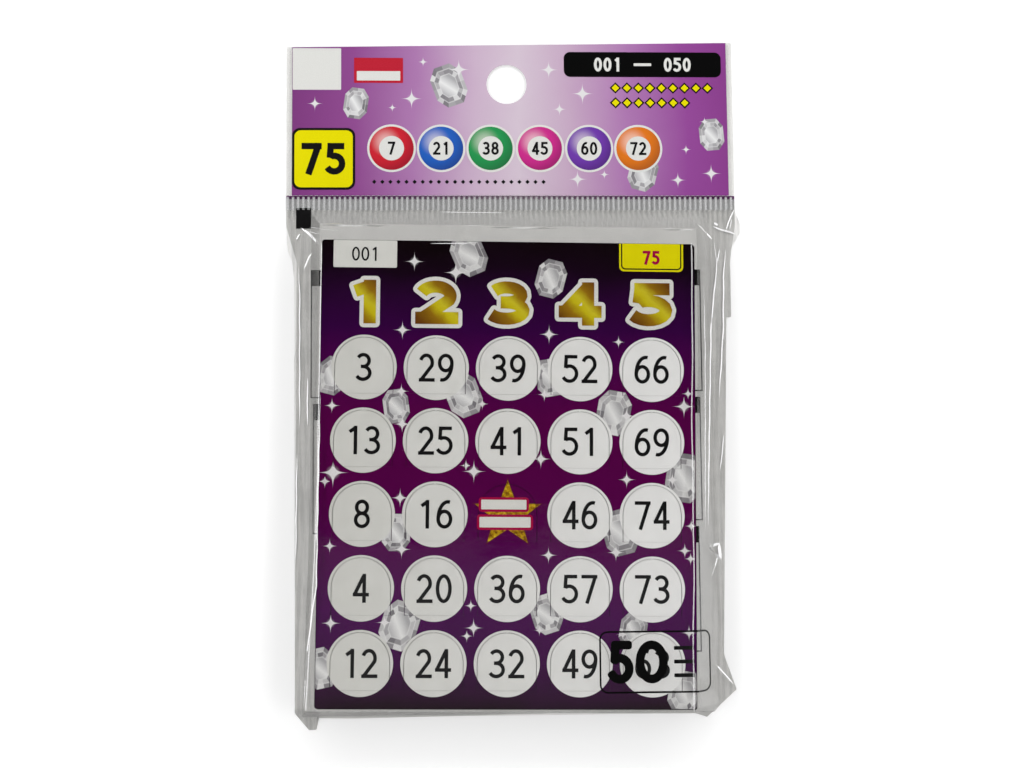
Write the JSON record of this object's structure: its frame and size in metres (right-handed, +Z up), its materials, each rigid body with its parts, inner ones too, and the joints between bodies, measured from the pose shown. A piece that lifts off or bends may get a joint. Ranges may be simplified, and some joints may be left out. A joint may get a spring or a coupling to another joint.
{
  "type": "hang-sell pack of bingo cards",
  "caption": "Flat stack of paper bingo cards with die-cut hinged number flaps, sealed in a clear film pouch with a ribbed crimp and a printed header with a round hang hole.",
  "frame": {"origin": "under the middle of the whole pack's outline, on the table that the pack lies on", "axes": "+X to the right of the front card, +Y from the cards towards the header, +Z up out of the front card"},
  "size_m": [0.1114, 0.1692, 0.0105],
  "materials": {
    "clear_film": "clear glossy film with soft creases",
    "crimped_film": "clear film pressed into ribs",
    "header_print": "glossy film printed in purple, paler towards the middle",
    "header_back": "glossy film, unprinted",
    "card_print": "coated board printed in deep purple",
    "flap_print": "coated board, printed number on a pale disc",
    "free_flap_print": "coated board, gold star on deep purple",
    "card_stock": "bare white board"
  },
  "bodies": {
    "pouch": {"back_film": "clear_film", "front_film": "clear_film", "crimp_seal": "crimped_film"},
    "header": {"header_back_film": "header_back", "header_front_film": "header_print"},
    "cards": {"front_card": "card_print", "card_bundle_1": "card_stock", "card_bundle_2": "card_stock", "card_bundle_3": "card_stock", "card_bundle_4": "card_stock", "card_bundle_5": "card_stock", "card_bundle_6": "card_stock", "last_card": "card_stock"},
    "flap_r1c1": {"flap_r1c1": "flap_print"},
    "flap_r1c2": {"flap_r1c2": "flap_print"},
    "flap_r1c3": {"flap_r1c3": "flap_print"},
    "flap_r1c4": {"flap_r1c4": "flap_print"},
    "flap_r1c5": {"flap_r1c5": "flap_print"},
    "flap_r2c1": {"flap_r2c1": "flap_print"},
    "flap_r2c2": {"flap_r2c2": "flap_print"},
    "flap_r2c3": {"flap_r2c3": "flap_print"},
    "flap_r2c4": {"flap_r2c4": "flap_print"},
    "flap_r2c5": {"flap_r2c5": "flap_print"},
    "flap_r3c1": {"flap_r3c1": "flap_print"},
    "flap_r3c2": {"flap_r3c2": "flap_print"},
    "flap_r3c3": {"flap_r3c3": "free_flap_print"},
    "flap_r3c4": {"flap_r3c4": "flap_print"},
    "flap_r3c5": {"flap_r3c5": "flap_print"},
    "flap_r4c1": {"flap_r4c1": "flap_print"},
    "flap_r4c2": {"flap_r4c2": "flap_print"},
    "flap_r4c3": {"flap_r4c3": "flap_print"},
    "flap_r4c4": {"flap_r4c4": "flap_print"},
    "flap_r4c5": {"flap_r4c5": "flap_print"},
    "flap_r5c1": {"flap_r5c1": "flap_print"},
    "flap_r5c2": {"flap_r5c2": "flap_print"},
    "flap_r5c3": {"flap_r5c3": "flap_print"},
    "flap_r5c4": {"flap_r5c4": "flap_print"},
    "flap_r5c5": {"flap_r5c5": "flap_print"}
  },
  "joints": [
    {"name": "header_fold", "type": "hinge", "parent": "pouch", "child": "header", "pos_m": [0, 0.04548, 0.00047], "axis": [1, 0, 0], "range_deg": [0, 120], "stiffness_Nm_per_rad": 0.0003},
    {"name": "cards_slip", "type": "slide", "parent": "pouch", "child": "cards", "axis": [0, 1, 0], "range_m": [0, 0.0025]},
    {"name": "flap_r1c1_hinge", "type": "hinge", "parent": "cards", "child": "flap_r1c1", "pos_m": [-0.03624, -0.00454, 0.00931], "axis": [0.9999, -0.014, 0], "range_deg": [0, 4], "stiffness_Nm_per_rad": 0.00005},
    {"name": "flap_r1c2_hinge", "type": "hinge", "parent": "cards", "child": "flap_r1c2", "pos_m": [-0.01894, -0.00479, 0.00931], "axis": [0.9999, -0.014, 0], "range_deg": [0, 4], "stiffness_Nm_per_rad": 0.00005},
    {"name": "flap_r1c3_hinge", "type": "hinge", "parent": "cards", "child": "flap_r1c3", "pos_m": [-0.00164, -0.00503, 0.00931], "axis": [0.9999, -0.014, 0], "range_deg": [0, 4], "stiffness_Nm_per_rad": 0.00005},
    {"name": "flap_r1c4_hinge", "type": "hinge", "parent": "cards", "child": "flap_r1c4", "pos_m": [0.01566, -0.00527, 0.00931], "axis": [0.9999, -0.014, 0], "range_deg": [0, 4], "stiffness_Nm_per_rad": 0.00005},
    {"name": "flap_r1c5_hinge", "type": "hinge", "parent": "cards", "child": "flap_r1c5", "pos_m": [0.03296, -0.00551, 0.00931], "axis": [0.9999, -0.014, 0], "range_deg": [0, 4], "stiffness_Nm_per_rad": 0.00005},
    {"name": "flap_r2c1_hinge", "type": "hinge", "parent": "cards", "child": "flap_r2c1", "pos_m": [-0.03648, -0.02209, 0.00931], "axis": [0.9999, -0.014, 0], "range_deg": [0, 4], "stiffness_Nm_per_rad": 0.00005},
    {"name": "flap_r2c2_hinge", "type": "hinge", "parent": "cards", "child": "flap_r2c2", "pos_m": [-0.01918, -0.02233, 0.00931], "axis": [0.9999, -0.014, 0], "range_deg": [0, 4], "stiffness_Nm_per_rad": 0.00005},
    {"name": "flap_r2c3_hinge", "type": "hinge", "parent": "cards", "child": "flap_r2c3", "pos_m": [-0.00188, -0.02258, 0.00931], "axis": [0.9999, -0.014, 0], "range_deg": [0, 4], "stiffness_Nm_per_rad": 0.00005},
    {"name": "flap_r2c4_hinge", "type": "hinge", "parent": "cards", "child": "flap_r2c4", "pos_m": [0.01541, -0.02282, 0.00931], "axis": [0.9999, -0.014, 0], "range_deg": [0, 4], "stiffness_Nm_per_rad": 0.00005},
    {"name": "flap_r2c5_hinge", "type": "hinge", "parent": "cards", "child": "flap_r2c5", "pos_m": [0.03271, -0.02306, 0.00931], "axis": [0.9999, -0.014, 0], "range_deg": [0, 4], "stiffness_Nm_per_rad": 0.00005},
    {"name": "flap_r3c1_hinge", "type": "hinge", "parent": "cards", "child": "flap_r3c1", "pos_m": [-0.03673, -0.03964, 0.00931], "axis": [0.9999, -0.014, 0], "range_deg": [0, 4], "stiffness_Nm_per_rad": 0.00005},
    {"name": "flap_r3c2_hinge", "type": "hinge", "parent": "cards", "child": "flap_r3c2", "pos_m": [-0.01943, -0.03988, 0.00931], "axis": [0.9999, -0.014, 0], "range_deg": [0, 4], "stiffness_Nm_per_rad": 0.00005},
    {"name": "flap_r3c3_hinge", "type": "hinge", "parent": "cards", "child": "flap_r3c3", "pos_m": [-0.00213, -0.04012, 0.00931], "axis": [0.9999, -0.014, 0], "range_deg": [0, 4], "stiffness_Nm_per_rad": 0.00005},
    {"name": "flap_r3c4_hinge", "type": "hinge", "parent": "cards", "child": "flap_r3c4", "pos_m": [0.01517, -0.04036, 0.00931], "axis": [0.9999, -0.014, 0], "range_deg": [0, 4], "stiffness_Nm_per_rad": 0.00005},
    {"name": "flap_r3c5_hinge", "type": "hinge", "parent": "cards", "child": "flap_r3c5", "pos_m": [0.03247, -0.04061, 0.00931], "axis": [0.9999, -0.014, 0], "range_deg": [0, 4], "stiffness_Nm_per_rad": 0.00005},
    {"name": "flap_r4c1_hinge", "type": "hinge", "parent": "cards", "child": "flap_r4c1", "pos_m": [-0.03697, -0.05719, 0.00931], "axis": [0.9999, -0.014, 0], "range_deg": [0, 4], "stiffness_Nm_per_rad": 0.00005},
    {"name": "flap_r4c2_hinge", "type": "hinge", "parent": "cards", "child": "flap_r4c2", "pos_m": [-0.01967, -0.05743, 0.00931], "axis": [0.9999, -0.014, 0], "range_deg": [0, 4], "stiffness_Nm_per_rad": 0.00005},
    {"name": "flap_r4c3_hinge", "type": "hinge", "parent": "cards", "child": "flap_r4c3", "pos_m": [-0.00237, -0.05767, 0.00931], "axis": [0.9999, -0.014, 0], "range_deg": [0, 4], "stiffness_Nm_per_rad": 0.00005},
    {"name": "flap_r4c4_hinge", "type": "hinge", "parent": "cards", "child": "flap_r4c4", "pos_m": [0.01492, -0.05791, 0.00931], "axis": [0.9999, -0.014, 0], "range_deg": [0, 4], "stiffness_Nm_per_rad": 0.00005},
    {"name": "flap_r4c5_hinge", "type": "hinge", "parent": "cards", "child": "flap_r4c5", "pos_m": [0.03222, -0.05815, 0.00931], "axis": [0.9999, -0.014, 0], "range_deg": [0, 4], "stiffness_Nm_per_rad": 0.00005},
    {"name": "flap_r5c1_hinge", "type": "hinge", "parent": "cards", "child": "flap_r5c1", "pos_m": [-0.03722, -0.07474, 0.00931], "axis": [0.9999, -0.014, 0], "range_deg": [0, 4], "stiffness_Nm_per_rad": 0.00005},
    {"name": "flap_r5c2_hinge", "type": "hinge", "parent": "cards", "child": "flap_r5c2", "pos_m": [-0.01992, -0.07498, 0.00931], "axis": [0.9999, -0.014, 0], "range_deg": [0, 4], "stiffness_Nm_per_rad": 0.00005},
    {"name": "flap_r5c3_hinge", "type": "hinge", "parent": "cards", "child": "flap_r5c3", "pos_m": [-0.00262, -0.07522, 0.00931], "axis": [0.9999, -0.014, 0], "range_deg": [0, 4], "stiffness_Nm_per_rad": 0.00005},
    {"name": "flap_r5c4_hinge", "type": "hinge", "parent": "cards", "child": "flap_r5c4", "pos_m": [0.01468, -0.07546, 0.00931], "axis": [0.9999, -0.014, 0], "range_deg": [0, 4], "stiffness_Nm_per_rad": 0.00005},
    {"name": "flap_r5c5_hinge", "type": "hinge", "parent": "cards", "child": "flap_r5c5", "pos_m": [0.03198, -0.0757, 0.00931], "axis": [0.9999, -0.014, 0], "range_deg": [0, 4], "stiffness_Nm_per_rad": 0.00005}
  ]
}
